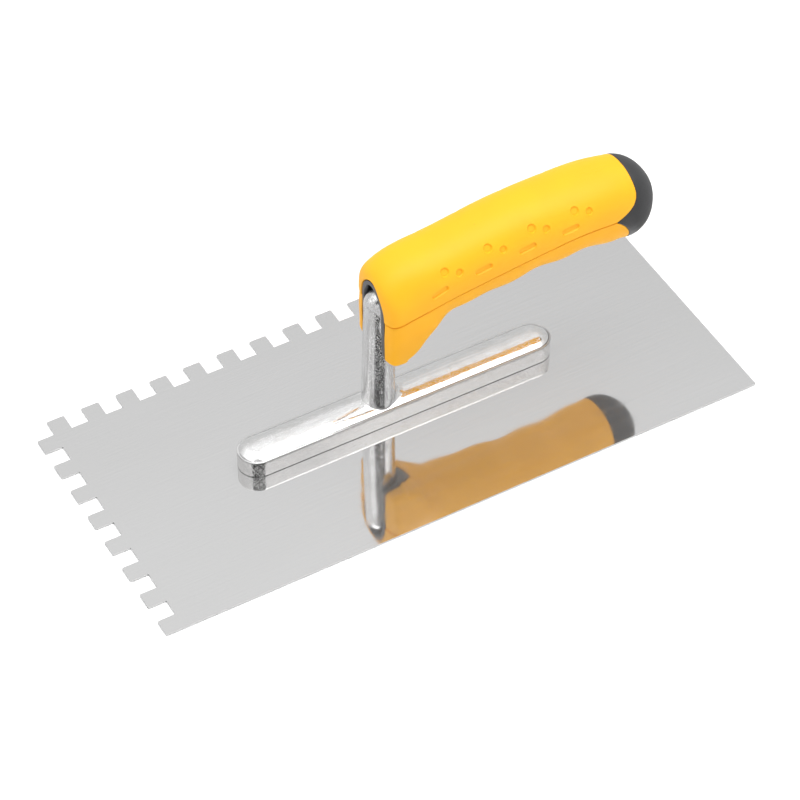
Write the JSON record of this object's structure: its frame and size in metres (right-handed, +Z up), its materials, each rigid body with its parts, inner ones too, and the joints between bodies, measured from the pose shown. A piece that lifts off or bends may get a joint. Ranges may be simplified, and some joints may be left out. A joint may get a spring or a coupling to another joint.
{
  "type": "notched trowel",
  "caption": "Notched trowel: thin steel blade with square notches along a long and a short edge, crowned aluminium bar and shank, and a soft yellow grip with a dark butt.",
  "frame": {"origin": "middle of the blade's flat underside", "axes": "+Z up out of the blade towards the handle, +X along the blade towards the handle's butt and the plain short edge, +Y towards the notched long edge"},
  "size_m": [0.28, 0.128, 0.0938],
  "materials": {
    "blade_steel": "polished stainless sheet with a fine grain",
    "cast_aluminium": "die cast, polished by hand",
    "rivet_aluminium": "ground flush",
    "core_plastic": "moulded, fine texture",
    "grip_rubber": "soft touch, satin",
    "cap_plastic": "moulded, fine texture",
    "screw_steel": "zinc plated",
    "washer_steel": "zinc plated"
  },
  "bodies": {
    "root": {"blade": "blade_steel", "shank_casting": "cast_aluminium", "rivets": "rivet_aluminium", "handle_core": "core_plastic", "grip_sleeve": "grip_rubber", "end_cap": "cap_plastic", "retaining_screw": "screw_steel", "washer": "washer_steel"}
  },
  "joints": []
}
